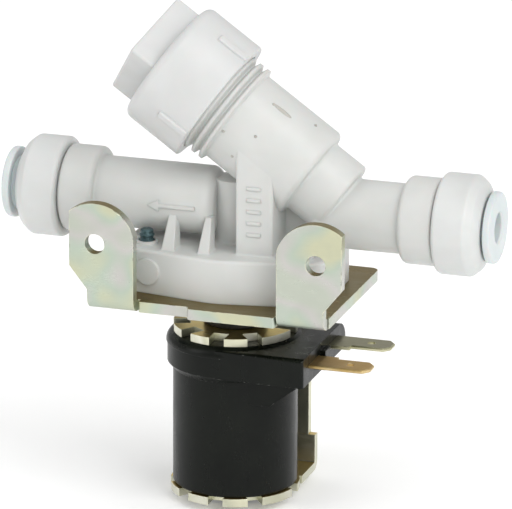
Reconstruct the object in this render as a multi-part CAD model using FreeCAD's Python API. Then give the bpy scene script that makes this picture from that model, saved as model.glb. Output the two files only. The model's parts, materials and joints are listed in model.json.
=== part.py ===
"""Plastic-bodied water solenoid valve: angled strainer branch, push-fit tube ports and a steel bracket.

Modelling frame, in millimetres: Z is the coil's axis, pointing up from the coil to the valve, X runs along
the pipe from the outlet (-X) to the inlet (+X), and the bracket's plate has its top face at Z = 0. At the end
every piece is moved, so that the stored origin is halfway between the two holes of the bracket, on the face
that meets the panel.
"""
import FreeCAD
import Part
import math
import os

from FreeCAD import Rotation, Vector

# --- bracket --------------------------------------------------------------------------------------
SHEET = 2.4
HOLE_SPACING = 50.0
HOLE_R = 2.25
HOLE_Z = 12.7
EAR_FACE_Y = -22.1
EAR_TOP_R = 9.1
EAR_IN, EAR_OUT = 16.2, 30.85
EAR_FOOT_X = 26.8
PLATE_X = 27.1
PLATE_BACK_Y = 19.6
BEND_OUTER_R = 3.0

# --- pipe and push-fit sockets --------------------------------------------------------------------
PIPE_Z = 18.2
PIPE_R = 7.7
OUTLET_MOUTH_X = -48.6
INLET_MOUTH_X = 57.2
OUTLET_PIPE_END_X = -3.5
INLET_PIPE_END_X = 18.7
SLEEVE_START, SLEEVE_R = 3.0, 8.5
COLLAR_START, COLLAR_END, COLLAR_R = 10.5, 18.2, 9.6
SOCKET_CAP_R, SOCKET_CAP_LENGTH = 11.1, 10.1
LIP_R, LIP_DEPTH = 6.35, 2.6
COLLET_BORE_R = 3.25
COLLET_BODY_R = 5.9
COLLET_BULGE_R = 6.6
COLLET_FLANGE_R = 7.85
COLLET_FLANGE = 1.7
COLLET_GAP = 1.5
COLLET_END = 8.0
INLET_COLLET_PUSHED_IN = 0.9
GRIP_RING = 0.4
GRIP_TIP_R = 3.05
CHAMBER_R, CHAMBER_END = 6.9, 10.2
GROOVE_R, GROOVE_END = 5.7, 13.3
TUBE_POCKET_R, TUBE_STOP = 3.3, 19.5
WATER_R = 2.6

# --- strainer branch: a line that leaves the pipe's axis at BRANCH_X and climbs towards the outlet ----
BRANCH_X = 28.3
BRANCH_ANGLE = 35.0
FOOT_START, FOOT_R, FOOT_BORE_R = 5.1, 8.7, 6.3
BARREL_START, BARREL_R, BARREL_BORE_R = 13.6, 10.95, 8.6
NECK_START, NECK_END = 34.0, 49.5
THREAD_R, THREAD_PITCH = 12.1, 2.0
CAP_START, CAP_TOP, CAP_R = 39.2, 54.0, 14.75
CAP_BORE_R, CAP_ROOF = 12.3, 51.6
HEAD_SIDE, HEAD_TOP = 17.6, 60.2
HEAD_TURN = -36.6
GRIP_RIB_TURN, GRIP_RIB_END, GRIP_RIB_WIDTH = -110.0, 47.0, 1.8
GRIP_RIB_R = CAP_R + 0.6
FRAME_R = 8.3
MESH_OUT_R, MESH_IN_R = 6.85, 6.6

# --- diaphragm housing ----------------------------------------------------------------------------
HOUSING_R, HOUSING_TOP = 16.5, 9.8
LUG_X, LUG_Y, LUG_R = 17.8, 8.1, 5.4
SEAT_Z, SEAT_R, SEAT_BORE_R = 4.6, 5.0, 3.2
CLAMP_R, BEAD_R = 14.4, 12.4
FLANGE_TOP = 2.5
RISER_R, RISER_TOP = 4.4, 24.0
POST_X0, POST_X1 = 3.3, 11.7
POST_Y0, POST_Y1 = -10.85, 1.0
POST_TOP = 36.0
DUCT_X0, DUCT_X1 = 5.6, 10.0
DUCT_Y0, DUCT_Y1 = -8.9, -0.8
DUCT_BOTTOM, DUCT_TOP = 7.5, 28.0
WEB_END_X, WEB_HALF, WEB_TOP = 21.0, 1.0, 20.0
FRONT_BOSS_R, FRONT_BOSS_LENGTH = 3.0, 2.2
FRONT_BOSS_FACE = Vector(-15.8, -14.5, 5.0)
FRONT_BOSS_INWARD = Vector(0.175, 0.984, 0)
GUSSETS = ((-12.9, 3.2, 1.6), (-4.6, 2.8, 1.4))

# --- screws ---------------------------------------------------------------------------------------
SCREW_R, SCREW_ROOT_R, SCREW_HOLE_R = 1.7, 1.45, 1.85
SCREW_TIP_Z = 12.9
SCREW_COLLAR_R, SCREW_COLLAR_TOP = 2.5, HOUSING_TOP + 0.6
SCREW_HEAD_R, SCREW_HEAD = 3.2, 2.4

# --- bonnet, plunger and core ---------------------------------------------------------------------
COIL_TOP = -8.8
BONNET_BOSS_R = 7.0
TUBE_R, TUBE_BORE_R = 5.2, 4.5
TUBE_END = -48.9
PLUNGER_R, PLUNGER_TOP, PLUNGER_END = 4.25, 0.2, -20.0
PLUNGER_TRAVEL = 3.0
SPRING_POCKET_R, SPRING_POCKET_TOP = 3.0, -11.0
CORE_TOP = PLUNGER_END - PLUNGER_TRAVEL - 0.2
SPRING_R, SPRING_WIRE_R, SPRING_TURNS = 2.3, 0.3, 7

# --- coil -----------------------------------------------------------------------------------------
YOKE = 1.8
YOKE_BOTTOM = -47.3
UPPER_DISC_R, LOWER_DISC_R = 13.7, 14.3
YOKE_NOTCH_DEPTH, YOKE_NOTCH = 3.8, 3.4
YOKE_NOTCH_ANGLES = (-160.0, -125.0, -90.0, -54.0, -4.0)
YOKE_HOLE_R = 5.5
STRAP_BACK_Y = 17.2
UPPER_STRAP_X, LOWER_STRAP_X = 12.2, 13.7
STRAP_JOINT_Z = -39.0
MOULD_TOP, MOULD_R, MOULD_BORE_R = COIL_TOP - YOKE - 0.05, 13.75, 12.25
RIM_R, RIM_LIP = 15.0, 0.25
PARTING_Z, RIM_END, RIM_CHAMFER_END = -13.0, -17.5, -18.9
BLOCK_END_X, BLOCK_TOP, BLOCK_BOTTOM = 20.3, -11.2, -17.7
WINDING_TOP, WINDING_BOTTOM = -14.6, -43.9
WEDGE_HALF = 12.0
TAB_Z, TAB_T, TAB_W = -14.0, 0.8, 6.35
TAB_Y, TAB_TIP_X, TAB_SHOULDER_X = 8.0, 33.8, 25.0
TAB_ROOT_X = 13.2

TO_STORED_FRAME = Vector(0, -EAR_FACE_Y, -HOLE_Z)
UP = Vector(0, 0, 1)
ALONG_X = Vector(1, 0, 0)
BRANCH_LEAN = Rotation(Vector(0, 1, 0), BRANCH_ANGLE - 90)
BRANCH_ORIGIN = Vector(BRANCH_X, 0, PIPE_Z)


# --- geometry helpers -----------------------------------------------------------------------------
def in_xz(u, v):
    return Vector(u, 0, v)


def in_xy(u, v):
    return Vector(u, v, 0)


def outline(corners, plane=in_xz):
    """Face inside the closed outline of (u, v) or (u, v, radius) corners, each rounded by its radius."""
    points = [plane(c[0], c[1]) for c in corners]
    runs = []
    for i, corner in enumerate(corners):
        here = points[i]
        if len(corner) == 2:
            runs.append((here, None, here))
            continue
        back = (points[i - 1] - here).normalize()
        ahead = (points[(i + 1) % len(points)] - here).normalize()
        half = back.getAngle(ahead) / 2
        middle = (back + ahead).normalize()
        reach = corner[2] / math.tan(half)
        crown = here + middle * (corner[2] / math.sin(half) - corner[2])
        runs.append((here + back * reach, crown, here + ahead * reach))
    edges = []
    for i, (start, crown, end) in enumerate(runs):
        if crown:
            edges.append(Part.Arc(start, crown, end).toShape())
        following = runs[(i + 1) % len(runs)][0]
        if (following - end).Length > 1e-6:
            edges.append(Part.LineSegment(end, following).toShape())
    return Part.Face(Part.Wire(edges))


def turned(corners):
    """Solid of revolution about Z of an outline of (radius, height) corners."""
    return outline(corners).revolve(Vector(), UP, 360)


def box(x0, x1, y0, y1, z0, z1):
    return Part.makeBox(x1 - x0, y1 - y0, z1 - z0, Vector(x0, y0, z0))


def rod(radius, z0, z1, x=0, y=0):
    return Part.makeCylinder(radius, z1 - z0, Vector(x, y, z0))


def ring(outer, inner, z0, z1):
    return rod(outer, z0, z1).cut(rod(inner, z0 - 1, z1 + 1))


def turn(shape, degrees):
    """Copy of a shape turned about Z."""
    copy = shape.copy()
    copy.rotate(Vector(), UP, degrees)
    return copy


def placed(shape, origin, rotation):
    copy = shape.copy()
    copy.Placement = FreeCAD.Placement(origin, rotation).multiply(copy.Placement)
    return copy


def on_branch(shape):
    """Moves a shape built about Z onto the branch's axis."""
    return placed(shape, BRANCH_ORIGIN, BRANCH_LEAN)


def at_outlet(shape):
    """Moves a shape built about Z, with its mouth at Z = 0 and its depth along +Z, to the outlet socket."""
    return placed(shape, Vector(OUTLET_MOUTH_X, 0, PIPE_Z), Rotation(UP, ALONG_X))


def at_inlet(shape):
    """The same for the inlet socket, which is the outlet's mirror image."""
    return placed(shape, Vector(INLET_MOUTH_X, 0, PIPE_Z), Rotation(UP, -ALONG_X))


def lug_places():
    return [(x, y) for x in (-LUG_X, LUG_X) for y in (-LUG_Y, LUG_Y)]


# --- valve body -----------------------------------------------------------------------------------
def socket_and_pipe(pipe_length):
    """Sleeve under the socket cap, collar and pipe, as one turned solid."""
    return turned([
        (0, SLEEVE_START), (SLEEVE_R, SLEEVE_START, 0.4), (SLEEVE_R, COLLAR_START),
        (COLLAR_R, COLLAR_START, 0.5), (COLLAR_R, COLLAR_END, 1.2), (PIPE_R, COLLAR_END, 0.6),
        (PIPE_R, pipe_length, 2.5), (0, pipe_length),
    ])


def socket_hollow(water_length):
    """Space for the collet, the O-ring, the tube's end and the water."""
    return turned([
        (0, 0), (CHAMBER_R, 0), (CHAMBER_R, CHAMBER_END), (GROOVE_R, CHAMBER_END), (GROOVE_R, GROOVE_END),
        (TUBE_POCKET_R, GROOVE_END), (TUBE_POCKET_R, TUBE_STOP), (WATER_R, TUBE_STOP),
        (WATER_R, water_length), (0, water_length),
    ])


def branch_outside():
    crest = 0.35
    foot = crest + 0.5
    solid = turned([
        (0, FOOT_START), (FOOT_R, FOOT_START, 0.8), (FOOT_R, BARREL_START, 0.8),
        (BARREL_R, BARREL_START, 1.4), (BARREL_R, NECK_END, 0.5), (0, NECK_END),
    ])
    turns = int((NECK_END - NECK_START) / THREAD_PITCH)
    for i in range(turns):
        middle = NECK_START + 1.0 + i * THREAD_PITCH
        solid = solid.fuse(turned([
            (BARREL_R - 1, middle - foot), (BARREL_R, middle - foot), (THREAD_R, middle - crest),
            (THREAD_R, middle + crest), (BARREL_R, middle + foot), (BARREL_R - 1, middle + foot),
        ]))
    return on_branch(solid)


def branch_hollow():
    return on_branch(turned([
        (0, FOOT_START + 1.6), (FOOT_BORE_R, FOOT_START + 1.6), (FOOT_BORE_R, BARREL_START + 2.0),
        (BARREL_BORE_R, BARREL_START + 2.0), (BARREL_BORE_R, NECK_END + 1), (0, NECK_END + 1),
    ]))


def housing_outside():
    """Round diaphragm housing with a rounded lug for each screw, in one taut outline."""
    reach = math.hypot(LUG_X, LUG_Y)
    lug_angle = math.degrees(math.atan2(LUG_Y, LUG_X))
    lean = math.degrees(math.acos((HOUSING_R - LUG_R) / reach))
    tangent = math.radians(lug_angle + lean)
    rim = Vector(HOUSING_R * math.cos(tangent), HOUSING_R * math.sin(tangent), 0)
    lug = Vector(LUG_X + LUG_R * math.cos(tangent), LUG_Y + LUG_R * math.sin(tangent), 0)
    lug_side = Vector(LUG_X + LUG_R, LUG_Y, 0)
    edges = []
    for sx, sy in ((1, 1), (-1, 1), (-1, -1), (1, -1)):
        near, far, side = [Vector(sx * p.x, sy * p.y, 0) for p in (rim, lug, lug_side)]
        out_x = LUG_X + LUG_R * math.cos(tangent / 2)
        out_y = LUG_Y + LUG_R * math.sin(tangent / 2)
        crown = Vector(sx * out_x, sy * out_y, 0)
        edges.append(Part.LineSegment(near, far).toShape())
        edges.append(Part.Arc(far, crown, side).toShape())
    for sx in (1, -1):
        start = Vector(sx * lug_side.x, lug_side.y, 0)
        edges.append(Part.LineSegment(start, Vector(start.x, -start.y, 0)).toShape())
    for sy in (1, -1):
        crown = Vector(0, sy * HOUSING_R, 0)
        edges.append(Part.Arc(Vector(rim.x, sy * rim.y, 0), crown, Vector(-rim.x, sy * rim.y, 0)).toShape())
    face = Part.Face(Part.Wire(Part.__sortEdges__(edges)))
    solid = face.extrude(Vector(0, 0, HOUSING_TOP))
    top_edges = [e for e in solid.Edges if e.CenterOfMass.z > HOUSING_TOP - 0.01]
    return solid.makeFillet(0.7, top_edges)


def housing_hollow():
    chamber_top = 8.0
    return turned([
        (0, -1), (CLAMP_R, -1), (CLAMP_R, SEAT_Z), (BEAD_R, SEAT_Z), (BEAD_R, chamber_top),
        (SEAT_R, chamber_top), (SEAT_R, SEAT_Z), (0, SEAT_Z),
    ])


def gusset(x, foot_width, top_width):
    """Tapered rib that leans from the front of the housing to the pipe, flat on its outlet side."""
    foot = HOUSING_TOP - 1, -13.9, -9.2
    crest = 16.4, -7.4, -5.0
    sections = [
        Part.makePolygon([Vector(x, front_y, z), Vector(x + width, front_y, z), Vector(x + width, back_y, z),
                          Vector(x, back_y, z), Vector(x, front_y, z)])
        for (z, front_y, back_y), width in ((foot, foot_width), (crest, top_width))
    ]
    return Part.makeLoft(sections, True, True)


def flow_arrow():
    """Raised arrow on the front of the outlet pipe, pointing along the flow."""
    tip_x, head_x, tail_x = -17.9, -15.2, -7.0
    head_half, shaft_half = 1.35, 0.45
    proud = 0.3
    flat = Part.Face(Part.makePolygon([
        Vector(x, 0, PIPE_Z + rise) for x, rise in (
            (tip_x, 0), (head_x, head_half), (head_x, shaft_half), (tail_x, shaft_half),
            (tail_x, -shaft_half), (head_x, -shaft_half), (head_x, -head_half), (tip_x, 0))
    ]))
    start = Vector(tip_x - 1, 0, PIPE_Z)
    length = tail_x - tip_x + 2
    skin = Part.makeCylinder(PIPE_R + proud, length, start, ALONG_X)
    core = Part.makeCylinder(PIPE_R - 0.5, length, start, ALONG_X)
    return flat.extrude(Vector(0, -2 * PIPE_R, 0)).common(skin.cut(core))


def post_marks():
    """Plain raised bars up the front of the post."""
    x0, x1, proud, height = 5.9, 9.1, 0.25, 0.8
    lowest, spacing, count = 14.2, 2.6, 5
    levels = [lowest + i * spacing for i in range(count)]
    return [box(x0, x1, POST_Y0 - proud, POST_Y0 + 0.5, z, z + height) for z in levels]


def soften_corners(body):
    """Moulding radii where the branch meets the pipe, and where post, web and ribs stand on the housing."""
    branch_axis = BRANCH_LEAN.multVec(UP)
    foot_end = BRANCH_ORIGIN + branch_axis * FOOT_START
    on_pipe = [e for e in body.Edges if abs((e.CenterOfMass - foot_end).dot(branch_axis)) < 0.2
               and e.CenterOfMass.z > PIPE_Z]
    body = body.makeFillet(0.6, on_pipe)
    feet = [e for e in body.Edges if abs(e.CenterOfMass.z - HOUSING_TOP) < 0.01
            and abs(e.CenterOfMass.x) < LUG_X - 1 and -13.6 < e.CenterOfMass.y < 5.5]
    return body.makeFillet(0.5, feet)


def valve_body():
    outlet_length = OUTLET_PIPE_END_X - OUTLET_MOUTH_X
    inlet_length = INLET_MOUTH_X - INLET_PIPE_END_X
    post = box(POST_X0, POST_X1, POST_Y0, POST_Y1, HOUSING_TOP - 1, POST_TOP)
    post = post.makeFillet(0.7, [e for e in post.Edges if abs(e.CenterOfMass.y - POST_Y0) < 0.01
                                 and abs(e.CenterOfMass.z - (HOUSING_TOP - 1 + POST_TOP) / 2) < 0.01])
    reach = 80
    above_branch_axis = on_branch(box(0, reach, -reach, reach, 0, reach))
    post = post.cut(above_branch_axis)
    boss = Part.makeCylinder(FRONT_BOSS_R, FRONT_BOSS_LENGTH, FRONT_BOSS_FACE, FRONT_BOSS_INWARD)
    web = box(POST_X1 - 1, WEB_END_X, -WEB_HALF, WEB_HALF, HOUSING_TOP - 1, WEB_TOP)
    pieces = [
        at_outlet(socket_and_pipe(outlet_length)), at_inlet(socket_and_pipe(inlet_length)),
        branch_outside(), rod(RISER_R, HOUSING_TOP - 1, RISER_TOP), post, web, boss, flow_arrow(),
    ] + post_marks()
    pieces += [gusset(*shape) for shape in GUSSETS]
    pieces += [rod(SCREW_COLLAR_R, HOUSING_TOP - 1, SCREW_COLLAR_TOP, x, y) for x, y in lug_places()]
    body = housing_outside()
    for piece in pieces:
        body = body.fuse(piece)
    body = soften_corners(body.removeSplitter())
    duct = box(DUCT_X0, DUCT_X1, DUCT_Y0, DUCT_Y1, DUCT_BOTTOM, DUCT_TOP)
    seat_bore = rod(SEAT_BORE_R, -1, PIPE_Z)
    hollows = [
        at_outlet(socket_hollow(-OUTLET_MOUTH_X + 1.0)), at_inlet(socket_hollow(INLET_MOUTH_X - 21.5)),
        branch_hollow(), housing_hollow(), duct, seat_bore,
    ] + [rod(SCREW_HOLE_R, -1, HOUSING_TOP + 1, x, y) for x, y in lug_places()]
    for hollow in hollows:
        body = body.cut(hollow)
    return body.removeSplitter()


# --- push-fit ports -------------------------------------------------------------------------------
def socket_cap():
    return turned([
        (LIP_R, 0, 0.3), (7.5, 0, 0.4), (9.7, 1.2, 1.2), (SOCKET_CAP_R, 2.9, 1.2),
        (SOCKET_CAP_R, SOCKET_CAP_LENGTH, 0.9), (SLEEVE_R + 0.1, SOCKET_CAP_LENGTH),
        (SLEEVE_R + 0.1, LIP_DEPTH), (LIP_R, LIP_DEPTH, 0.3),
    ])


def collet(pushed_in):
    """Release collet: flange, bore for the tube, and four slit fingers with a bulge behind the cap's lip."""
    flange_top = pushed_in - COLLET_GAP - COLLET_FLANGE
    end = pushed_in + COLLET_END
    bulge = pushed_in + LIP_DEPTH + 0.4
    solid = turned([
        (COLLET_BORE_R, flange_top + 0.4), (COLLET_BORE_R + 0.4, flange_top),
        (COLLET_FLANGE_R, flange_top, 0.6), (COLLET_FLANGE_R, flange_top + COLLET_FLANGE, 0.3),
        (COLLET_BODY_R, flange_top + COLLET_FLANGE),
        (COLLET_BODY_R, bulge), (COLLET_BULGE_R, bulge + 0.8), (COLLET_BULGE_R, end), (COLLET_BORE_R, end),
    ])
    for angle in (45, 135, 225, 315):
        solid = solid.cut(turn(box(1, COLLET_BULGE_R + 1, -0.4, 0.4, pushed_in + 1.5, end + 1), angle))
    return solid


def grip_ring(pushed_in):
    """Thin ring of spring-steel teeth at the collet's inner end."""
    start = pushed_in + COLLET_END
    solid = ring(6.4, GRIP_TIP_R, start, start + GRIP_RING)
    for i in range(8):
        solid = solid.cut(turn(box(GRIP_TIP_R - 1, 5.0, -0.35, 0.35, start - 1, start + 1), i * 45 + 22.5))
    return solid


def tube_o_ring():
    section = 1.22
    return Part.makeTorus(GROOVE_R - section - 0.05, section, Vector(0, 0, (CHAMBER_END + GROOVE_END) / 2))


# --- strainer -------------------------------------------------------------------------------------
def strainer_cap():
    """Screw cap with grip ribs, a square head and a spigot that turns inside the strainer frame."""
    cap = turned([
        (0, CAP_ROOF), (CAP_BORE_R, CAP_ROOF), (CAP_BORE_R, CAP_START), (CAP_R, CAP_START, 0.5),
        (CAP_R, CAP_TOP, 1.8), (0, CAP_TOP),
    ])
    half = HEAD_SIDE / 2
    head = box(-half, half, -half, half, CAP_TOP - 0.2, HEAD_TOP)
    head = turn(head.makeFillet(0.5, head.Edges), HEAD_TURN)
    cap = cap.fuse(head).fuse(ring(5.7, 4.6, 48.4, CAP_ROOF + 0.5))
    for i in range(4):
        half_width = GRIP_RIB_WIDTH / 2
        rib = box(CAP_R - 1, GRIP_RIB_R, -half_width, half_width, CAP_START + 0.2, GRIP_RIB_END)
        rib = rib.makeFillet(0.4, [e for e in rib.Edges if e.CenterOfMass.x > GRIP_RIB_R - 0.1])
        cap = cap.fuse(turn(rib, GRIP_RIB_TURN + 90 * i))
    return on_branch(cap)


def strainer_cap_seal():
    section = 0.95
    return on_branch(Part.makeTorus(10.4, section, Vector(0, 0, CAP_ROOF - section - 0.05)))


def strainer_frame():
    """Two rings joined by four ribs outside the mesh."""
    bottom, top = BARREL_START + 2.1, NECK_END - 0.1
    frame = ring(FRAME_R, MESH_IN_R - 0.4, bottom, bottom + 1.8).fuse(ring(FRAME_R, 6.0, top - 1.8, top))
    for i in range(4):
        frame = frame.fuse(turn(box(MESH_OUT_R + 0.05, FRAME_R - 0.6, -0.7, 0.7, bottom, top), 45 + 90 * i))
    return on_branch(frame)


def strainer_mesh():
    return on_branch(ring(MESH_OUT_R, MESH_IN_R, BARREL_START + 3.9, NECK_END - 1.9))


# --- diaphragm, bonnet and plunger ----------------------------------------------------------------
def diaphragm():
    """Rubber disc: clamped bead, thin web and the thick pad that closes the seat."""
    return turned([
        (2.0, 2.9), (SEAT_R + 0.2, 2.9), (SEAT_R + 0.2, 3.1), (BEAD_R + 0.1, 3.1),
        (BEAD_R + 0.1, FLANGE_TOP + 0.02), (CLAMP_R - 0.2, FLANGE_TOP + 0.02),
        (CLAMP_R - 0.2, SEAT_Z - 0.05), (BEAD_R + 0.1, SEAT_Z - 0.05),
        (BEAD_R + 0.1, 3.9), (SEAT_R + 0.2, 3.9), (SEAT_R + 0.2, SEAT_Z - 0.05), (2.0, SEAT_Z - 0.05),
    ])


def diaphragm_insert():
    """Stiff centre of the diaphragm, with the pilot hole through it."""
    pilot_r = 0.5
    return turned([
        (pilot_r, 1.7), (1.6, 1.7), (1.6, 2.0), (6.0, 2.0, 0.3), (6.0, 2.85), (1.95, 2.85), (1.95, SEAT_Z),
        (2.85, SEAT_Z), (2.85, 5.4, 0.3), (pilot_r, 5.4),
    ])


def bonnet():
    """Flange that clamps the diaphragm, boss through the bracket, and closed tube that carries the coil."""
    return turned([
        (0, TUBE_END), (TUBE_R, TUBE_END, 0.6), (TUBE_R, COIL_TOP), (BONNET_BOSS_R, COIL_TOP, 0.4),
        (BONNET_BOSS_R, 0.05), (CLAMP_R - 0.2, 0.05), (CLAMP_R - 0.2, FLANGE_TOP), (10.5, FLANGE_TOP),
        (10.5, 0.9), (6.8, 0.9), (6.8, -1.2), (TUBE_BORE_R, -1.2), (TUBE_BORE_R, TUBE_END + 1.3),
        (0, TUBE_END + 1.3),
    ])


def plunger():
    """Steel armature: bleed flats along its sides and a pocket for the spring."""
    solid = turned([
        (0, SPRING_POCKET_TOP), (SPRING_POCKET_R, SPRING_POCKET_TOP), (SPRING_POCKET_R, PLUNGER_END),
        (PLUNGER_R, PLUNGER_END, 0.3), (PLUNGER_R, PLUNGER_TOP - 1.5), (2.6, PLUNGER_TOP),
        (1.85, PLUNGER_TOP), (1.85, PLUNGER_TOP - 1.6), (0, PLUNGER_TOP - 1.6),
    ])
    for angle in (0, 120, 240):
        flat = box(PLUNGER_R - 0.35, PLUNGER_R + 1, -PLUNGER_R, PLUNGER_R, PLUNGER_END - 1, PLUNGER_TOP + 1)
        solid = solid.cut(turn(flat, angle))
    return solid


def plunger_seal():
    return turned([
        (0, PLUNGER_TOP - 1.6), (1.8, PLUNGER_TOP - 1.6), (1.8, 1.1), (1.4, 1.6), (0, 1.6),
    ])


def plunger_spring():
    length = SPRING_POCKET_TOP - CORE_TOP - 2 * SPRING_WIRE_R - 0.1
    start = CORE_TOP + SPRING_WIRE_R + 0.05
    path = Part.makeHelix(length / SPRING_TURNS, length, SPRING_R)
    section = Part.Wire(Part.makeCircle(SPRING_WIRE_R, Vector(SPRING_R, 0, 0), Vector(0, 1, 0)))
    spring = Part.Wire(path.Edges).makePipeShell([section], True, True)
    spring.translate(Vector(0, 0, start))
    return spring


def fixed_core():
    """Pole piece at the closed end of the tube, with a groove for the shading ring."""
    return turned([
        (0, TUBE_END + 1.35), (TUBE_BORE_R - 0.05, TUBE_END + 1.35), (TUBE_BORE_R - 0.05, CORE_TOP),
        (4.1, CORE_TOP), (4.1, CORE_TOP - 1.5), (3.3, CORE_TOP - 1.5), (3.3, CORE_TOP), (0, CORE_TOP),
    ])


def shading_ring():
    return ring(4.05, 3.35, CORE_TOP - 1.45, CORE_TOP - 0.05)


# --- coil -----------------------------------------------------------------------------------------
def coil_bobbin():
    bore, core, flange = 5.5, 6.6, MOULD_BORE_R - 0.05
    bottom = YOKE_BOTTOM + YOKE + 0.05
    return turned([
        (bore, MOULD_TOP), (flange, MOULD_TOP), (flange, WINDING_TOP), (core, WINDING_TOP),
        (core, WINDING_BOTTOM), (flange, WINDING_BOTTOM), (flange, bottom), (bore, bottom),
    ])


def coil_winding():
    return ring(11.7, 6.65, WINDING_BOTTOM + 0.05, WINDING_TOP - 0.05)


def yoke_disc(radius, z0):
    """Round end plate with square notches round its front."""
    disc = rod(radius, z0, z0 + YOKE)
    root = radius - YOKE_NOTCH_DEPTH
    for angle in YOKE_NOTCH_ANGLES:
        notch = box(root, radius + 2, -YOKE_NOTCH / 2, YOKE_NOTCH / 2, z0 - 1, z0 + YOKE + 1)
        disc = disc.cut(turn(notch, angle))
    return disc


def yoke_strap(half_width, z_plate, z_end):
    """Tongue from the disc to the back of the coil, bent through a right angle to run along it to z_end."""
    root_y, inner = 5.9, 0.4
    front_y = STRAP_BACK_Y - YOKE
    inside = z_plate + math.copysign(YOKE, z_end - z_plate)
    side = outline([
        (root_y, z_plate), (STRAP_BACK_Y, z_plate, inner + YOKE), (STRAP_BACK_Y, z_end), (front_y, z_end),
        (front_y, inside, inner), (root_y, inside),
    ], lambda u, v: Vector(-half_width, u, v))
    return side.extrude(Vector(2 * half_width, 0, 0))


def upper_yoke():
    disc = yoke_disc(UPPER_DISC_R, COIL_TOP - YOKE)
    strap = yoke_strap(UPPER_STRAP_X, COIL_TOP, STRAP_JOINT_Z + 0.02)
    return disc.fuse(strap).cut(rod(YOKE_HOLE_R, COIL_TOP - 5, COIL_TOP + 5)).removeSplitter()


def lower_yoke():
    disc = yoke_disc(LOWER_DISC_R, YOKE_BOTTOM)
    strap = yoke_strap(LOWER_STRAP_X, YOKE_BOTTOM, STRAP_JOINT_Z - 0.02)
    return disc.fuse(strap).cut(rod(YOKE_HOLE_R, YOKE_BOTTOM - 5, YOKE_BOTTOM + 5)).removeSplitter()


def terminal(y, wide_side):
    """Flat push-on tab, 6.35 by 0.8 mm, with a wider root, a bevelled tip and a locating hole."""
    z0 = TAB_Z - TAB_T / 2
    half = TAB_W / 2
    root_half = half + 1.0
    blade = outline([
        (TAB_ROOT_X, y - half), (TAB_TIP_X - 1.4, y - half, 0.5), (TAB_TIP_X, y - half + 1.7, 0.5),
        (TAB_TIP_X, y + half - 1.7, 0.5), (TAB_TIP_X - 1.4, y + half, 0.5), (TAB_ROOT_X, y + half),
    ], in_xy).extrude(Vector(0, 0, TAB_T))
    blade.translate(Vector(0, 0, z0))
    side_y = y + wide_side * root_half
    step = box(TAB_ROOT_X, TAB_SHOULDER_X, min(y, side_y), max(y, side_y), z0, z0 + TAB_T)
    tab = blade.fuse(step).removeSplitter()
    tip_edges = [e for e in tab.Edges if e.CenterOfMass.x > TAB_TIP_X - 0.05 and e.Length > 1.5]
    tab = tab.makeChamfer(0.25, tip_edges)
    return tab.cut(rod(0.9, z0 - 1, z0 + TAB_T + 1, TAB_TIP_X - 5.0, y))


def terminal_front():
    return terminal(-TAB_Y, 1)


def terminal_rear():
    return terminal(TAB_Y, -1)


def terminal_block():
    """Shoulder on the inlet side of the coil that carries the two tabs."""
    plan = outline([
        (0, -RIM_R), (BLOCK_END_X, -15.6, 0.8), (BLOCK_END_X, 16.2), (12.7, 16.2, 0.8), (12.7, 0), (0, 0),
    ], in_xy).extrude(Vector(0, 0, BLOCK_TOP - BLOCK_BOTTOM))
    plan.translate(Vector(0, 0, BLOCK_BOTTOM))
    end_profile = outline([
        (-15.8, BLOCK_BOTTOM), (16.4, BLOCK_BOTTOM), (16.4, BLOCK_TOP, 5.0), (-15.8, BLOCK_TOP, 1.5),
    ], lambda u, v: Vector(-1, u, v)).extrude(Vector(BLOCK_END_X + 2, 0, 0))
    block = plan.common(end_profile)
    wedge = outline([(0, BLOCK_BOTTOM), (BLOCK_END_X - 0.8, BLOCK_BOTTOM), (11.6, -23.8), (0, -23.8)])
    gusset_block = wedge.extrude(Vector(0, 2 * WEDGE_HALF, 0))
    gusset_block.translate(Vector(0, -WEDGE_HALF, 0))
    barrier = box(BLOCK_END_X - 1, BLOCK_END_X + 1.3, -3.0, 1.0, BLOCK_BOTTOM + 0.5, TAB_Z + 1.2)
    return block.fuse(gusset_block).fuse(barrier)


def coil_overmould():
    bottom = YOKE_BOTTOM + YOKE + 0.05
    lip_r = RIM_R + RIM_LIP
    shell = turned([
        (0, bottom), (MOULD_R, bottom, 0.5), (MOULD_R, RIM_CHAMFER_END), (RIM_R, RIM_END), (RIM_R, PARTING_Z),
        (lip_r, PARTING_Z), (lip_r, MOULD_TOP, 2.2), (0, MOULD_TOP),
    ])
    mould = shell.fuse(terminal_block()).cut(rod(MOULD_BORE_R, YOKE_BOTTOM - 5, 0))
    return mould.cut(terminal_front()).cut(terminal_rear()).removeSplitter()


def coil_clip():
    """Push-on washer that grips the end of the tube below the coil."""
    top = YOKE_BOTTOM - 0.15
    clip = ring(8.2, TUBE_R + 0.02, top - 0.6, top)
    for i in range(6):
        clip = clip.cut(turn(box(4, 6.9, -0.5, 0.5, top - 2, top + 1), 60 * i))
    return clip


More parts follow.
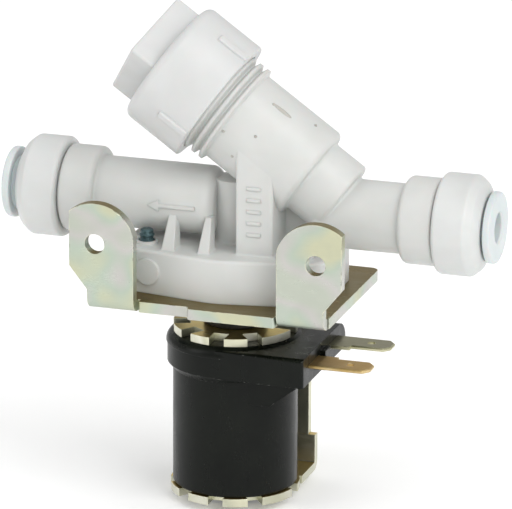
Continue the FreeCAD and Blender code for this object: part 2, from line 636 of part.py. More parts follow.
# --- bracket and screws ---------------------------------------------------------------------------
def ear(side):
    """Ear bent up from the plate, with its rounded top about the mounting hole."""
    hole_x = HOLE_SPACING / 2
    rise_out = math.sqrt(EAR_TOP_R**2 - (EAR_OUT - hole_x)**2)
    rise_in = math.sqrt(EAR_TOP_R**2 - (hole_x - EAR_IN)**2)
    p = [Vector(side * x, 0, z) for x, z in (
        (EAR_IN, -SHEET), (EAR_FOOT_X, -SHEET), (EAR_FOOT_X, HOLE_Z - 10.4), (EAR_OUT, HOLE_Z - 5.3),
        (EAR_OUT, HOLE_Z + rise_out), (hole_x, HOLE_Z + EAR_TOP_R), (EAR_IN, HOLE_Z + rise_in))]
    edges = [Part.LineSegment(p[i], p[i + 1]).toShape() for i in range(4)]
    edges.append(Part.Arc(p[4], p[5], p[6]).toShape())
    edges.append(Part.LineSegment(p[6], p[0]).toShape())
    front = Part.Face(Part.Wire(edges)).extrude(Vector(0, -40, 0))
    inner_r = BEND_OUTER_R - SHEET
    inner_y = EAR_FACE_Y + SHEET
    profile = outline([
        (EAR_FACE_Y, 40), (EAR_FACE_Y, -SHEET, BEND_OUTER_R), (-15.0, -SHEET), (-15.0, 0),
        (inner_y, 0, inner_r), (inner_y, 40),
    ], lambda u, v: Vector(-40, u, v)).extrude(Vector(80, 0, 0))
    hole = Part.makeCylinder(HOLE_R, 10, Vector(side * hole_x, EAR_FACE_Y - 5, HOLE_Z), Vector(0, 1, 0))
    return front.common(profile).cut(hole)


def mounting_bracket():
    """Zinc-plated plate under the valve body, with two ears and clearance for the bonnet and the screws."""
    relief = 0.5
    lip_left, step_x = relief - EAR_IN, -4.5
    lip_y, recess_y, relief_y = -21.9, -20.3, -17.0
    corner_y = EAR_FACE_Y + BEND_OUTER_R + 0.6
    foot_x = EAR_FOOT_X + 0.1
    plate = outline([
        (-PLATE_X, corner_y), (-foot_x, corner_y), (-foot_x, relief_y), (-EAR_IN, relief_y),
        (-EAR_IN, corner_y), (lip_left, corner_y), (lip_left, recess_y, 0.5), (step_x, recess_y),
        (step_x + 0.7, lip_y, 0.5), (EAR_IN - relief, lip_y, 0.5), (EAR_IN - relief, corner_y),
        (EAR_IN, corner_y), (EAR_IN, relief_y), (foot_x, relief_y), (foot_x, corner_y), (PLATE_X, corner_y),
        (PLATE_X, PLATE_BACK_Y, 2.0), (-PLATE_X, PLATE_BACK_Y, 2.0),
    ], in_xy).extrude(Vector(0, 0, SHEET))
    plate.translate(Vector(0, 0, -SHEET))
    bracket = plate.fuse(ear(-1)).fuse(ear(1)).cut(rod(BONNET_BOSS_R + 0.2, -5, 5))
    for x, y in lug_places():
        bracket = bracket.cut(rod(SCREW_HOLE_R + 0.15, -5, 5, x, y))
    return bracket.removeSplitter()


def body_screw(x, y):
    """Pan-head thread-forming screw, driven up through the bracket and a lug, with a flat end."""
    screw = turned([
        (0, -SHEET - SCREW_HEAD), (1.6, -SHEET - SCREW_HEAD), (SCREW_HEAD_R, -SHEET - SCREW_HEAD, 1.2),
        (SCREW_HEAD_R, -SHEET), (SCREW_ROOT_R, -SHEET), (SCREW_ROOT_R, SCREW_TIP_Z - 0.3),
        (SCREW_ROOT_R - 0.3, SCREW_TIP_Z), (0, SCREW_TIP_Z),
    ])
    pitch, crest, foot = 1.3, 0.12, 0.35
    for i in range(int((SCREW_TIP_Z + SHEET - 1.0) / pitch)):
        z = -SHEET + 1.0 + i * pitch
        screw = screw.fuse(turned([
            (0.8, z - foot), (SCREW_ROOT_R, z - foot), (SCREW_R, z - crest), (SCREW_R, z + crest),
            (SCREW_ROOT_R, z + foot), (0.8, z + foot),
        ]))
    for angle in (0, 90):
        recess = turn(box(-1.7, 1.7, -0.35, 0.35, -SHEET - SCREW_HEAD - 1, -SHEET - SCREW_HEAD + 1.3), angle)
        screw = screw.cut(recess)
    screw.translate(Vector(x, y, 0))
    return screw


def body_screws():
    return Part.makeCompound([body_screw(x, y) for x, y in lug_places()])


def assembly():
    """Every piece by name, in the modelling frame."""
    return {
        "valve_body": valve_body(),
        "outlet_socket_cap": at_outlet(socket_cap()),
        "inlet_socket_cap": at_inlet(socket_cap()),
        "outlet_collet": at_outlet(collet(0)),
        "inlet_collet": at_inlet(collet(INLET_COLLET_PUSHED_IN)),
        "outlet_grip_ring": at_outlet(grip_ring(0)),
        "inlet_grip_ring": at_inlet(grip_ring(INLET_COLLET_PUSHED_IN)),
        "outlet_o_ring": at_outlet(tube_o_ring()),
        "inlet_o_ring": at_inlet(tube_o_ring()),
        "strainer_cap": strainer_cap(),
        "strainer_cap_seal": strainer_cap_seal(),
        "strainer_frame": strainer_frame(),
        "strainer_mesh": strainer_mesh(),
        "diaphragm": diaphragm(),
        "diaphragm_insert": diaphragm_insert(),
        "bonnet": bonnet(),
        "plunger": plunger(),
        "plunger_seal": plunger_seal(),
        "plunger_spring": plunger_spring(),
        "fixed_core": fixed_core(),
        "shading_ring": shading_ring(),
        "coil_bobbin": coil_bobbin(),
        "coil_winding": coil_winding(),
        "coil_overmould": coil_overmould(),
        "upper_yoke": upper_yoke(),
        "lower_yoke": lower_yoke(),
        "terminal_front": terminal_front(),
        "terminal_rear": terminal_rear(),
        "coil_clip": coil_clip(),
        "mounting_bracket": mounting_bracket(),
        "body_screws": body_screws(),
    }


def main():
    os.makedirs("parts", exist_ok=True)
    for name, shape in assembly().items():
        shape.translate(TO_STORED_FRAME)
        shape.exportStep(f"parts/{name}.step")
        print(f"{name:20s} solids {len(shape.Solids)} valid {shape.isValid()} volume {shape.Volume:9.1f} mm3")


main()
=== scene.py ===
import json
import math
import bpy
from mathutils import Matrix, Vector


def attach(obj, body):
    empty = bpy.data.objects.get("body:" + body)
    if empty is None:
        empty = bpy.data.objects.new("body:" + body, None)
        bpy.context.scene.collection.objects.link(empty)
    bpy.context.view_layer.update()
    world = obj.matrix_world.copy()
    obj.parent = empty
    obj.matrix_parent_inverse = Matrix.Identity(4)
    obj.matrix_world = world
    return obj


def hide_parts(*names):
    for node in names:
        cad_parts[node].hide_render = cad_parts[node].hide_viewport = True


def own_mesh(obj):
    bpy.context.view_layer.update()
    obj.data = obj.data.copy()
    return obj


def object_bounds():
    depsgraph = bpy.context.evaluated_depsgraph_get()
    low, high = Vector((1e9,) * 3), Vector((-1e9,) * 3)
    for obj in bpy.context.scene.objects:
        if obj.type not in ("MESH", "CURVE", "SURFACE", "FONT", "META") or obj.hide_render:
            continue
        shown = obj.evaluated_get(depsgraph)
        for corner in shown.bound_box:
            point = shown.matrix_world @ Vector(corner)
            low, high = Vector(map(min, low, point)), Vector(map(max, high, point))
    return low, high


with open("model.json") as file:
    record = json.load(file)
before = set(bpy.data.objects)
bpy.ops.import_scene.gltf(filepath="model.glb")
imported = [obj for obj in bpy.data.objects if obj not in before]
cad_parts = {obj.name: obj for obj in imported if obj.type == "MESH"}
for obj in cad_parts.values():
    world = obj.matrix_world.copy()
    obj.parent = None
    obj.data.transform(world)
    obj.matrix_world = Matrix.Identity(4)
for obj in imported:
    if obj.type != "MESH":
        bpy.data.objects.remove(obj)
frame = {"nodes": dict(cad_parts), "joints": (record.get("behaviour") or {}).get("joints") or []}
cad_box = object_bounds()

MM = 0.001
JOINTS = {joint["name"]: joint for joint in frame["joints"]}

# --- camera: degrees, metres, and the lens in millimetres --------------------------------------
VIEW_AZIMUTH, VIEW_ELEVATION, VIEW_ROLL = 17.9, 17.6, 0.19
VIEW_DISTANCE = 1.3
VIEW_PIVOT = Vector((0, 0.0221, -0.0127))
AIM_RIGHT, AIM_UP = 0.00443, 0.0060
LENS_MM, NEAR_CLIP = 417.2, 0.01

# --- studio: metres and watts ------------------------------------------------------------------
LIGHTS = {
    "key": {"place_at": (1.2, -0.7, 1.4), "size": (1.2, 1.2), "power": 15.0},
    "front": {"place_at": (1.0, -1.3, 0.35), "size": (0.7, 0.9), "power": 5.0},
    "fill": {"place_at": (-1.3, -0.9, 0.7), "size": (0.7, 1.2), "power": 5.0},
}
SKY_STRENGTH = 0.80
SKY_FROM, SKY_TO = -0.2, 1.0
SKY = [(0.0, (0.62, 0.62, 0.61)), (0.3, (0.70, 0.70, 0.69)),
       (0.7, (0.98, 0.98, 0.98)), (1.0, (1.0, 1.0, 1.0))]
FLOOR_RADIUS, FLOOR_RINGS, FLOOR_SIDES = 3.0, 4, 96
FLOOR_GAP = 0.2 * MM
FLOOR_GLOW = 0.13

# --- strainer branch: its axis is the one that the cap turns about ------------------------------
BRANCH_FOOT = Vector(JOINTS["cap_unscrew"]["pos_m"])
BRANCH_AXIS = Vector(JOINTS["cap_unscrew"]["axis"])
BRANCH_TURN = Matrix.Rotation(math.asin(BRANCH_AXIS.z) - math.pi / 2, 4, "Y")
BARREL_RADIUS = 10.95 * MM

# Raised marks on the barrel. Each has its place, in mm along it and degrees up from its front,
# and its length, width and height in mm.
GATE_SCAR = [(26.6, 62.5, 6.2, 1.3, 0.34), (28.9, 62.0, 1.0, 0.9, 0.45)]
PIP_PLACES = [(19.2, 78.0), (33.7, -1.0), (29.0, -20.0), (27.5, 18.0)]
PIP_SIZE = (0.9, 0.8, 0.42)
MARK_SINK, MARK_RIM_SINK = 0.03 * MM, 0.12 * MM

# --- strainer mesh: mm, from the foot of the branch's axis --------------------------------------
WEAVE_RADIUS, WIRE_RADIUS, WIRE_WAVE = 6.725 * MM, 0.055 * MM, 0.058 * MM
WEAVE_START, WEAVE_END = 17.5 * MM, 47.6 * MM
UPRIGHT_WIRES, HOOP_WIRES = 48, 34
WIRE_SIDES = 5


# --- node helpers ------------------------------------------------------------------------------
def connect(tree, socket, value):
    """Links an output to the socket, or sets a plain value on it."""
    if isinstance(value, bpy.types.NodeSocket):
        tree.links.new(value, socket)
    else:
        socket.default_value = value


def add_node(tree, kind, inputs=None, **settings):
    """New node, with its settings and with a value or a link on each named input."""
    node = tree.nodes.new(kind)
    for name, value in settings.items():
        setattr(node, name, value)
    for name, value in (inputs or {}).items():
        connect(tree, node.inputs[name], value)
    return node


def place(tree, stretch=(1, 1, 1)):
    """Object coordinates, stretched for grain that runs one way."""
    where = add_node(tree, "ShaderNodeTexCoord").outputs["Object"]
    if stretch == (1, 1, 1):
        return where
    return add_node(tree, "ShaderNodeMapping", {"Vector": where, "Scale": stretch}).outputs[0]


def noise(tree, size_mm, seed, detail=2.0, stretch=(1, 1, 1)):
    """Grey noise, about 0.3 to 0.7, whose patches are size_mm across."""
    return add_node(tree, "ShaderNodeTexNoise", {
        "Vector": place(tree, stretch), "W": seed, "Scale": 1000.0 / size_mm, "Detail": detail,
    }, noise_dimensions="4D").outputs["Fac"]


def spread(tree, value, low, high, to_low=0.0, to_high=1.0):
    """Maps low..high of a value to to_low..to_high, clamped."""
    return add_node(tree, "ShaderNodeMapRange", {
        "Value": value, "From Min": low, "From Max": high, "To Min": to_low, "To Max": to_high,
    }, clamp=True).outputs["Result"]


def ramp(tree, value, stops):
    """Colour ramp through (position, colour) stops."""
    node = add_node(tree, "ShaderNodeValToRGB", {"Fac": value})
    elements = node.color_ramp.elements
    while len(elements) < len(stops):
        elements.new(0.5)
    for element, (position, colour) in zip(elements, stops):
        element.position = position
        element.color = (*colour, 1)
    return node.outputs["Color"]


def mix(tree, factor, a, b):
    """Colour a turning into b by factor."""
    node = add_node(tree, "ShaderNodeMix", data_type="RGBA")
    factor_socket, a_socket, b_socket = node.inputs[0], node.inputs[6], node.inputs[7]
    connect(tree, factor_socket, factor)
    for socket, colour in ((a_socket, a), (b_socket, b)):
        connect(tree, socket, colour if isinstance(colour, bpy.types.NodeSocket) else (*colour, 1))
    return node.outputs[2]


def maths(tree, operation, a, b):
    """One sum or product of two values."""
    node = add_node(tree, "ShaderNodeMath", operation=operation)
    connect(tree, node.inputs[0], a)
    connect(tree, node.inputs[1], b)
    return node.outputs[0]


def edge_mask(tree, radius_mm):
    """1 along the edges of the shape and 0 on its faces."""
    soft = add_node(tree, "ShaderNodeBevel", {"Radius": radius_mm * MM}, samples=6).outputs["Normal"]
    true = add_node(tree, "ShaderNodeNewGeometry").outputs["Normal"]
    dot = add_node(tree, "ShaderNodeVectorMath", {0: soft, 1: true}, operation="DOT_PRODUCT").outputs["Value"]
    on_edge, on_face = 5 / 6, 0.995
    return spread(tree, dot, on_edge, on_face, 1.0, 0.0)


def facing_up(tree):
    """1 on faces that look up, 0 on the others, in the object's own frame; it masks the painted reflection.
    """
    normal = add_node(tree, "ShaderNodeTexCoord").outputs["Normal"]
    height = add_node(tree, "ShaderNodeSeparateXYZ", {0: normal}).outputs["Z"]
    return spread(tree, height, 0.6, 0.95)


def specks(tree, seed):
    """1 on tiny round specks, in about one cell in ten, and 0 elsewhere."""
    cells_per_metre, radius, empty_share = 190.0, 0.035, 0.90
    cells = add_node(tree, "ShaderNodeTexVoronoi", {
        "Vector": place(tree), "Scale": cells_per_metre, "W": seed}, voronoi_dimensions="4D")
    cell_value = add_node(tree, "ShaderNodeSeparateColor", {0: cells.outputs["Color"]}).outputs["Red"]
    inside = spread(tree, cells.outputs["Distance"], radius, radius + 0.02, 1.0, 0.0)
    return maths(tree, "MULTIPLY", inside, spread(tree, cell_value, empty_share, empty_share + 0.01))


def surface(tree, shader, edge_mm, bumps):
    """Rounds the edges by edge_mm and adds the bumps, given as (height, depth in mm, strength)."""
    normal = add_node(tree, "ShaderNodeBevel", {"Radius": edge_mm * MM}, samples=6).outputs["Normal"]
    for height, depth_mm, strength in bumps:
        normal = add_node(tree, "ShaderNodeBump", {
            "Strength": strength, "Distance": depth_mm * MM, "Height": height, "Normal": normal,
        }).outputs["Normal"]
    tree.links.new(normal, shader.inputs["Normal"])


def material(name, finish, **sockets):
    """Principled material: sockets are constants on its shader, and finish adds the textures."""
    made = bpy.data.materials.new(name)
    made.use_nodes = True
    shader = made.node_tree.nodes["Principled BSDF"]
    for socket, value in sockets.items():
        shader.inputs[socket.replace("_", " ")].default_value = value
    finish(made.node_tree, shader)
    return made


# --- finishes: each takes its colours and a seed, and sizes in mm -------------------------------
def acetal(light, shade, seed, marks=0.35, edge_mm=0.3):
    """Satin moulded plastic: faint mottling, flow lines, tiny dark specks and a soft skin."""
    speck_colour = (0.30, 0.27, 0.22)
    flow_colour = tuple(c * 0.95 for c in shade)

    def finish(tree, shader):
        mottle = noise(tree, 14.0, seed, 3.0)
        colour = ramp(tree, mottle, [(0.36, shade), (0.62, light)])
        flow = noise(tree, 6.0, seed + 3, 4.0, stretch=(0.35, 1.0, 1.0))
        colour = mix(tree, spread(tree, flow, 0.56, 0.72, 0.0, 0.35), colour, flow_colour)
        colour = mix(tree, maths(tree, "MULTIPLY", specks(tree, seed), marks), colour, speck_colour)
        tree.links.new(colour, shader.inputs["Base Color"])
        skin = noise(tree, 0.7, seed + 5, 3.0)
        sheen = noise(tree, 4.0, seed + 7, 3.0)
        tree.links.new(spread(tree, sheen, 0.3, 0.7, 0.34, 0.46), shader.inputs["Roughness"])
        sink_marks = noise(tree, 5.0, seed + 9)
        surface(tree, shader, edge_mm, [(skin, 0.012, 0.5), (sink_marks, 0.12, 0.25)])
    return finish


def passivated(film, painted_reflection_top, seed, edge_colour=(0.84, 0.82, 0.62), rough=(0.24, 0.44), wear=1.0):
    """Zinc-plated sheet: film with a faint rainbow, rolling grain, fine scuffs and bright edges, and a
    painted reflection on faces that look up.
    """
    nick_colour, pit_colour = (0.10, 0.09, 0.06), (0.20, 0.19, 0.12)
    dull_colour = tuple(c * 0.82 for c in film[0])
    film_stops = list(zip((0.34, 0.46, 0.56, 0.68), film))

    def finish(tree, shader):
        colour = ramp(tree, noise(tree, 11.0, seed, 1.0), film_stops)
        # Painted reflection: faces that look up take a top colour that stands in for what they reflect. It is
        # not a film of their own.
        colour = mix(tree, facing_up(tree), colour, painted_reflection_top)
        dull = noise(tree, 6.0, seed + 2, 5.0)
        colour = mix(tree, spread(tree, dull, 0.45, 0.75, 0.0, 0.25), colour, dull_colour)
        edge = edge_mask(tree, 0.35)
        worn = maths(tree, "MULTIPLY", edge, spread(tree, noise(tree, 2.2, seed + 4, 4.0), 0.40, 0.60))
        colour = mix(tree, worn, colour, edge_colour)
        nicks = maths(tree, "MULTIPLY", edge, spread(tree, noise(tree, 1.2, seed + 5, 3.0), 0.58, 0.64))
        colour = mix(tree, maths(tree, "MULTIPLY", nicks, 0.8 * wear), colour, nick_colour)
        pits = spread(tree, noise(tree, 0.8, seed + 6, 2.0), 0.24, 0.27, 0.5 * wear, 0.0)
        colour = mix(tree, pits, colour, pit_colour)
        tree.links.new(colour, shader.inputs["Base Color"])
        grain = noise(tree, 0.35, seed + 8, 3.0, stretch=(0.06, 1.0, 1.0))
        worn_rough = spread(tree, maths(tree, "ADD", grain, dull), 0.7, 1.3, *rough)
        tree.links.new(worn_rough, shader.inputs["Roughness"])
        surface(tree, shader, 0.18, [(grain, 0.015, 0.3 * wear), (dull, 0.05, 0.2 * wear)])
    return finish


def bright_metal(light, shade, seed, grain_mm=0.3, stretch=(1.0, 1.0, 0.05)):
    """Drawn or turned metal: fine grain along one direction and slight tarnish."""
    def finish(tree, shader):
        tarnish = noise(tree, 3.0, seed, 4.0)
        tree.links.new(ramp(tree, tarnish, [(0.35, shade), (0.65, light)]), shader.inputs["Base Color"])
        grain = noise(tree, grain_mm, seed + 1, 3.0, stretch=stretch)
        tree.links.new(spread(tree, grain, 0.3, 0.7, 0.22, 0.4), shader.inputs["Roughness"])
        surface(tree, shader, 0.08, [(grain, 0.01, 0.4)])
    return finish


def black_moulding(light, shade, seed, rough):
    """Dark moulding: flow marks, a fine skin, small pale chips on its edges and uneven gloss."""
    chip_colour = (0.32, 0.33, 0.30)

    def finish(tree, shader):
        cloud = noise(tree, 7.0, seed, 4.0)
        colour = ramp(tree, cloud, [(0.35, shade), (0.66, light)])
        chips = maths(tree, "MULTIPLY", edge_mask(tree, 0.2),
                      spread(tree, noise(tree, 0.8, seed + 2, 2.0), 0.60, 0.66))
        colour = mix(tree, maths(tree, "MULTIPLY", chips, 0.8), colour, chip_colour)
        tree.links.new(colour, shader.inputs["Base Color"])
        smear = noise(tree, 2.5, seed + 4, 4.0, stretch=(1.0, 1.0, 0.4))
        tree.links.new(spread(tree, smear, 0.3, 0.7, *rough), shader.inputs["Roughness"])
        skin = noise(tree, 0.5, seed + 6, 3.0)
        surface(tree, shader, 0.25, [(skin, 0.008, 0.5), (cloud, 0.10, 0.2)])
    return finish


def rubber(seed):
    """Matt black rubber with a faint grey bloom."""
    black, bloomed = (0.018, 0.018, 0.018), (0.05, 0.05, 0.048)

    def finish(tree, shader):
        bloom = noise(tree, 2.0, seed, 4.0)
        tree.links.new(ramp(tree, bloom, [(0.35, black), (0.7, bloomed)]), shader.inputs["Base Color"])
        tree.links.new(spread(tree, bloom, 0.3, 0.7, 0.62, 0.8), shader.inputs["Roughness"])
        surface(tree, shader, 0.1, [(noise(tree, 0.25, seed + 1, 3.0), 0.01, 0.5)])
    return finish


def wound_copper(tree, shader):
    """Enamelled wire: bright turns that are darker in the grooves between them, and patches of darker
    varnish.
    """
    gap_colour, turn_colour, varnish_colour = (0.30, 0.10, 0.04), (0.78, 0.38, 0.20), (0.42, 0.16, 0.06)
    turns = add_node(tree, "ShaderNodeTexWave", {"Vector": place(tree), "Scale": 320.0, "Distortion": 0.4},
                     bands_direction="Z").outputs["Fac"]
    varnish = noise(tree, 1.5, 41.0, 4.0)
    colour = mix(tree, turns, gap_colour, turn_colour)
    colour = mix(tree, spread(tree, varnish, 0.5, 0.7, 0.0, 0.4), colour, varnish_colour)
    tree.links.new(colour, shader.inputs["Base Color"])
    tree.links.new(spread(tree, varnish, 0.3, 0.7, 0.2, 0.36), shader.inputs["Roughness"])
    surface(tree, shader, 0.05, [(turns, 0.08, 0.6)])


def paper(tree, shader):
    """Plain pale floor covering."""
    tint = ramp(tree, noise(tree, 120.0, 71.0), [(0.3, (0.95, 0.95, 0.95)), (0.7, (0.97, 0.97, 0.97))])
    tree.links.new(tint, shader.inputs["Base Color"])


# --- materials ---------------------------------------------------------------------------------
# Four tints of the plating's film for each plated piece, and the painted reflection colour of its faces that
# look up.
FILM = [(0.50, 0.53, 0.455), (0.55, 0.535, 0.51), (0.47, 0.54, 0.45), (0.58, 0.58, 0.40)]
YOKE_FILM = [(0.62, 0.62, 0.50), (0.72, 0.71, 0.60), (0.58, 0.58, 0.44), (0.74, 0.72, 0.54)]
TAB_FILM = [(0.46, 0.44, 0.27), (0.55, 0.53, 0.36), (0.43, 0.42, 0.25), (0.60, 0.57, 0.38)]
GOLD_FILM = [(0.60, 0.42, 0.17), (0.70, 0.53, 0.26), (0.54, 0.37, 0.14), (0.75, 0.60, 0.32)]
PLATE_TOP_PAINTED_REFLECTION, YOKE_TOP_PAINTED_REFLECTION = (0.18, 0.125, 0.02), (0.82, 0.62, 0.24)
TAB_TOP_PAINTED_REFLECTION, GOLD_TOP_PAINTED_REFLECTION = (0.28, 0.265, 0.17), (0.56, 0.35, 0.12)
TAB_EDGE, GOLD_EDGE = (0.80, 0.80, 0.56), (0.88, 0.80, 0.56)
SOFT_SKIN = {"Subsurface_Weight": 0.12, "Subsurface_Scale": 0.0012}
CLEAR_SKIN = {"Subsurface_Weight": 0.3, "Subsurface_Scale": 0.002}
METAL = {"Metallic": 1.0}

MATERIALS = {
    "acetal_body": material(
        "satin_acetal_body",
        acetal((0.615, 0.62, 0.603), (0.568, 0.576, 0.556), 1.0, edge_mm=0.5), **SOFT_SKIN),
    "acetal_fitting": material(
        "satin_acetal_fitting", acetal((0.64, 0.65, 0.64), (0.59, 0.60, 0.59), 2.0, 0.2), **SOFT_SKIN),
    "acetal_collet": material(
        "satin_acetal_collet", acetal((0.64, 0.685, 0.69), (0.58, 0.635, 0.64), 3.0, 0.1), **CLEAR_SKIN),
    "acetal_cap": material(
        "satin_acetal_cap", acetal((0.61, 0.615, 0.61), (0.57, 0.575, 0.568), 4.0, 0.15, 0.4), **SOFT_SKIN),
    "acetal_inner": material("satin_acetal_inner", acetal((0.62, 0.63, 0.60), (0.57, 0.58, 0.55), 5.0, 0.2)),
    "black_rubber": material("matt_rubber", rubber(11.0)),
    "stainless": material(
        "drawn_stainless", bright_metal((0.72, 0.72, 0.71), (0.55, 0.55, 0.54), 21.0), **METAL),
    "stainless_mesh": material(
        "mesh_wire", bright_metal((0.66, 0.66, 0.64), (0.48, 0.48, 0.46), 22.0, 0.1), **METAL),
    "plunger_steel": material(
        "turned_steel", bright_metal((0.64, 0.64, 0.62), (0.48, 0.48, 0.46), 23.0, 0.12, (0.05, 0.05, 1.0)),
        **METAL),
    "copper": material("enamelled_copper", wound_copper, Metallic=0.9),
    "black_bonnet": material(
        "satin_black_nylon", black_moulding((0.016, 0.016, 0.015), (0.008, 0.008, 0.008), 31.0, (0.42, 0.55)),
        Specular_IOR_Level=0.3),
    "black_nylon_bobbin": material(
        "bobbin_nylon", black_moulding((0.02, 0.02, 0.019), (0.010, 0.010, 0.010), 32.0, (0.4, 0.55))),
    "black_coil_mould": material(
        "gloss_black_thermoset",
        black_moulding((0.0045, 0.006, 0.004), (0.0025, 0.0035, 0.0025), 33.0, (0.24, 0.36)),
        Specular_IOR_Level=0.17),
    "yoke_steel": material(
        "yoke_zinc", passivated(YOKE_FILM, YOKE_TOP_PAINTED_REFLECTION, 51.0, rough=(0.26, 0.42), wear=0.35), **METAL),
    "tab_brass": material("tab_tinned_brass", passivated(TAB_FILM, TAB_TOP_PAINTED_REFLECTION, 54.0, TAB_EDGE), **METAL),
    "spring_steel": material(
        "dark_spring_steel", bright_metal((0.30, 0.30, 0.31), (0.16, 0.16, 0.17), 25.0), **METAL),
    "passivated_steel": material("bracket_zinc", passivated(FILM, PLATE_TOP_PAINTED_REFLECTION, 57.0), Metallic=0.85),
    "screw_steel": material(
        "screw_zinc", bright_metal((0.075, 0.13, 0.14), (0.03, 0.055, 0.065), 26.0, 0.15), Metallic=0.6),
}
FRONT_TAB = material("front_tab_brass", passivated(GOLD_FILM, GOLD_TOP_PAINTED_REFLECTION, 61.0, GOLD_EDGE), **METAL)
# Painted shade: the marks' acetal is darker all over, on the gate scar and the pips.
MARK_ACETAL_PAINTED_SHADE = material("mark_acetal_painted_shade", acetal((0.46, 0.45, 0.41), (0.30, 0.29, 0.26), 7.0), **SOFT_SKIN)


def dress_cad_nodes():
    """Gives each CAD node the material of its slot, and the front tab one of its own."""
    for name, node in frame["nodes"].items():
        slots = node.data.materials
        for index, old in enumerate(slots):
            slots[index] = FRONT_TAB if name == "terminal_front" else MATERIALS[old.name.split(".")[0]]


# --- mesh helpers ------------------------------------------------------------------------------
def mesh_piece(name, parts, finish):
    """One object from several (vertices, faces) parts."""
    vertices, faces = [], []
    for part_vertices, part_faces in parts:
        start = len(vertices)
        vertices.extend(part_vertices)
        faces.extend(tuple(start + i for i in face) for face in part_faces)
    mesh = bpy.data.meshes.new(name)
    mesh.from_pydata([tuple(v) for v in vertices], [], faces)
    mesh.polygons.foreach_set("use_smooth", [True] * len(mesh.polygons))
    mesh.materials.append(finish)
    piece = bpy.data.objects.new(name, mesh)
    bpy.context.scene.collection.objects.link(piece)
    return piece


def disc(rings, sides, ring_point, centre):
    """Vertices and faces of a round patch: its centre, and ring_point(reach, angle) on each ring."""
    vertices = [centre]
    for ring in range(1, rings + 1):
        vertices += [ring_point(ring / rings, 2 * math.pi * k / sides) for k in range(sides)]
    faces = [(0, 1 + k, 1 + (k + 1) % sides) for k in range(sides)]
    for ring in range(rings - 1):
        for k in range(sides):
            a, b = 1 + ring * sides + k, 1 + ring * sides + (k + 1) % sides
            faces.append((a, a + sides, b + sides, b))
    return vertices, faces


# --- strainer mesh -----------------------------------------------------------------------------
def wire_tube(points, closed):
    """Vertices and faces of a thin wire through the points, round an upright axis."""
    count = len(points)
    vertices, faces = [], []
    for i, here in enumerate(points):
        if closed:
            back, ahead = points[i - 1], points[(i + 1) % count]
        else:
            back, ahead = points[max(i - 1, 0)], points[min(i + 1, count - 1)]
        along = (ahead - back).normalized()
        out = Vector((here.x, here.y, 0)).normalized()
        side = along.cross(out).normalized()
        out = side.cross(along)
        for k in range(WIRE_SIDES):
            angle = 2 * math.pi * k / WIRE_SIDES
            vertices.append(here + (side * math.cos(angle) + out * math.sin(angle)) * WIRE_RADIUS)
    for i in range(count if closed else count - 1):
        j = (i + 1) % count
        for k in range(WIRE_SIDES):
            n = (k + 1) % WIRE_SIDES
            faces.append((i * WIRE_SIDES + k, i * WIRE_SIDES + n, j * WIRE_SIDES + n, j * WIRE_SIDES + k))
    if not closed:
        faces.append(tuple(range(WIRE_SIDES - 1, -1, -1)))
        faces.append(tuple((count - 1) * WIRE_SIDES + k for k in range(WIRE_SIDES)))
    return vertices, faces


def on_weave(angle, height, swing):
    """Point on the woven cylinder, swung in or out by up to one wave."""
    r = WEAVE_RADIUS + WIRE_WAVE * swing
    return Vector((r * math.cos(angle), r * math.sin(angle), height))


def woven_strainer():
    """Plain-weave wire cylinder in the place of the CAD tube, built upright and laid along the branch."""
    pitch = (WEAVE_END - WEAVE_START) / HOOP_WIRES
    parts = []
    for i in range(UPRIGHT_WIRES):
        side = 1 if i % 2 else -1
        parts.append(wire_tube([
            on_weave(2 * math.pi * i / UPRIGHT_WIRES, WEAVE_START + j * pitch / 2,
                     side * math.sin(math.pi * j / 2))
            for j in range(2 * HOOP_WIRES + 1)], closed=False))
    for j in range(HOOP_WIRES):
        side = 1 if j % 2 else -1
        parts.append(wire_tube([
            on_weave(math.pi * i / UPRIGHT_WIRES, WEAVE_START + (j + 0.5) * pitch,
                     side * math.cos(math.pi * i / 2))
            for i in range(2 * UPRIGHT_WIRES)], closed=True))
    piece = mesh_piece("woven_strainer", parts, MATERIALS["stainless_mesh"])
    piece.data.transform(Matrix.Translation(BRANCH_FOOT) @ BRANCH_TURN)
    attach(piece, "strainer")
    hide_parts("strainer_mesh")


# --- moulding marks ----------------------------------------------------------------------------
def low_dome(length, width, height):
    """Shallow oval dome on the XY plane, with its rim sunk below it."""
    def ring_point(reach, angle):
        rise = height * (math.cos(math.pi * reach) + 1) / 2 - MARK_RIM_SINK * (reach == 1)
        return Vector((math.cos(angle) * reach * length / 2, math.sin(angle) * reach * width / 2, rise))
    return disc(5, 20, ring_point, Vector((0, 0, height)))


def on_barrel(along, around):
    """Place on the branch's barrel: X along it, Z out of it, at an angle up from its front."""
    up = BRANCH_TURN.to_3x3() @ Vector((1, 0, 0))
    out = Vector((0, -1, 0)) * math.cos(around) + up * math.sin(around)
    across = out.cross(BRANCH_AXIS)
    origin = BRANCH_FOOT + BRANCH_AXIS * along + out * (BARREL_RADIUS - MARK_SINK)
    return Matrix((
        (BRANCH_AXIS.x, across.x, out.x, origin.x), (BRANCH_AXIS.y, across.y, out.y, origin.y),
        (BRANCH_AXIS.z, across.z, out.z, origin.z), (0, 0, 0, 1)))


def moulding_marks():
    """Gate scar and ejector pips that stand a little proud of the strainer branch, in a darker acetal that is
    painted shade.
    """
    parts = []
    for along, around, length, width, height in GATE_SCAR + [pip + PIP_SIZE for pip in PIP_PLACES]:
        vertices, faces = low_dome(length * MM, width * MM, height * MM)
        spot = on_barrel(along * MM, math.radians(around))
        parts.append(([spot @ v for v in vertices], faces))
    piece = mesh_piece("branch_moulding_marks", parts, MARK_ACETAL_PAINTED_SHADE)
    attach(piece, "valve")


# --- return spring -----------------------------------------------------------------------------
def shorten_spring():
    """Gives the spring a mesh of its own."""
    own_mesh(frame["nodes"]["plunger_spring"])


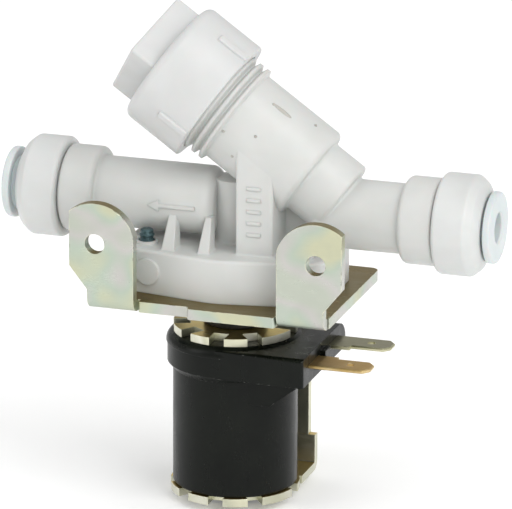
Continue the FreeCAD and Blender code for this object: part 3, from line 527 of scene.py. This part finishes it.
# --- stage -------------------------------------------------------------------------------------
def view_axes():
    """Unit vectors towards the viewer, to the right and up, as the pivot is seen."""
    azimuth, elevation, roll = (math.radians(a) for a in (VIEW_AZIMUTH, VIEW_ELEVATION, VIEW_ROLL))
    towards = Vector((math.sin(azimuth) * math.cos(elevation), -math.cos(azimuth) * math.cos(elevation),
                      math.sin(elevation)))
    level = Vector((math.cos(azimuth), math.sin(azimuth), 0))
    upright = towards.cross(level)
    right = level * math.cos(roll) + upright * math.sin(roll)
    up = upright * math.cos(roll) - level * math.sin(roll)
    return towards, right, up


def add_camera():
    """Camera at the viewing angle, aimed a little to the right of the pivot and above it."""
    towards, right, up = view_axes()
    place_at = VIEW_PIVOT + towards * VIEW_DISTANCE
    back = (place_at - (VIEW_PIVOT + right * AIM_RIGHT + up * AIM_UP)).normalized()
    across = up.cross(back).normalized()
    upward = back.cross(across)
    camera = bpy.data.objects.new("camera", bpy.data.cameras.new("camera"))
    camera.matrix_world = Matrix((
        (across.x, upward.x, back.x, place_at.x), (across.y, upward.y, back.y, place_at.y),
        (across.z, upward.z, back.z, place_at.z), (0, 0, 0, 1)))
    camera.data.lens = LENS_MM
    camera.data.clip_start = NEAR_CLIP
    bpy.context.scene.collection.objects.link(camera)
    bpy.context.scene.camera = camera


def add_light(name, place_at, size, power):
    """White rectangular lamp that faces the middle of the scene."""
    light = bpy.data.lights.new(name, "AREA")
    light.shape = "RECTANGLE"
    light.size, light.size_y = size
    light.energy = power
    lamp = bpy.data.objects.new(name, light)
    lamp.location = place_at
    lamp.rotation_euler = (-Vector(place_at)).to_track_quat("-Z", "Y").to_euler()
    bpy.context.scene.collection.objects.link(lamp)


def add_world():
    """White sky that darkens a little towards the horizon."""
    world = bpy.data.worlds.new("studio")
    world.use_nodes = True
    tree = world.node_tree
    where = add_node(tree, "ShaderNodeTexCoord").outputs["Generated"]
    height = add_node(tree, "ShaderNodeSeparateXYZ", {0: where}).outputs["Z"]
    colour = ramp(tree, spread(tree, height, SKY_FROM, SKY_TO), SKY)
    tree.links.new(colour, tree.nodes["Background"].inputs["Color"])
    tree.nodes["Background"].inputs["Strength"].default_value = SKY_STRENGTH
    bpy.context.scene.world = world


def add_floor(height):
    """Pale matt disc that fills the view, and glows faintly like a light table."""
    def ring_point(reach, angle):
        r = reach * FLOOR_RADIUS
        return Vector((math.cos(angle) * r, math.sin(angle) * r, height))

    cover = material(
        "floor_paper", paper, Roughness=0.9, Emission_Color=(1, 1, 1, 1), Emission_Strength=FLOOR_GLOW)
    round_sheet = disc(FLOOR_RINGS, FLOOR_SIDES, ring_point, Vector((0, 0, height)))
    mesh_piece("studio_floor", [round_sheet], cover)


# --- put it together ---------------------------------------------------------------------------
dress_cad_nodes()
woven_strainer()
moulding_marks()
shorten_spring()

add_camera()
add_world()
for light_name, settings in LIGHTS.items():
    add_light(light_name, **settings)
add_floor(cad_box[0][2] - FLOOR_GAP)
bpy.context.scene.view_settings.view_transform = "Standard"
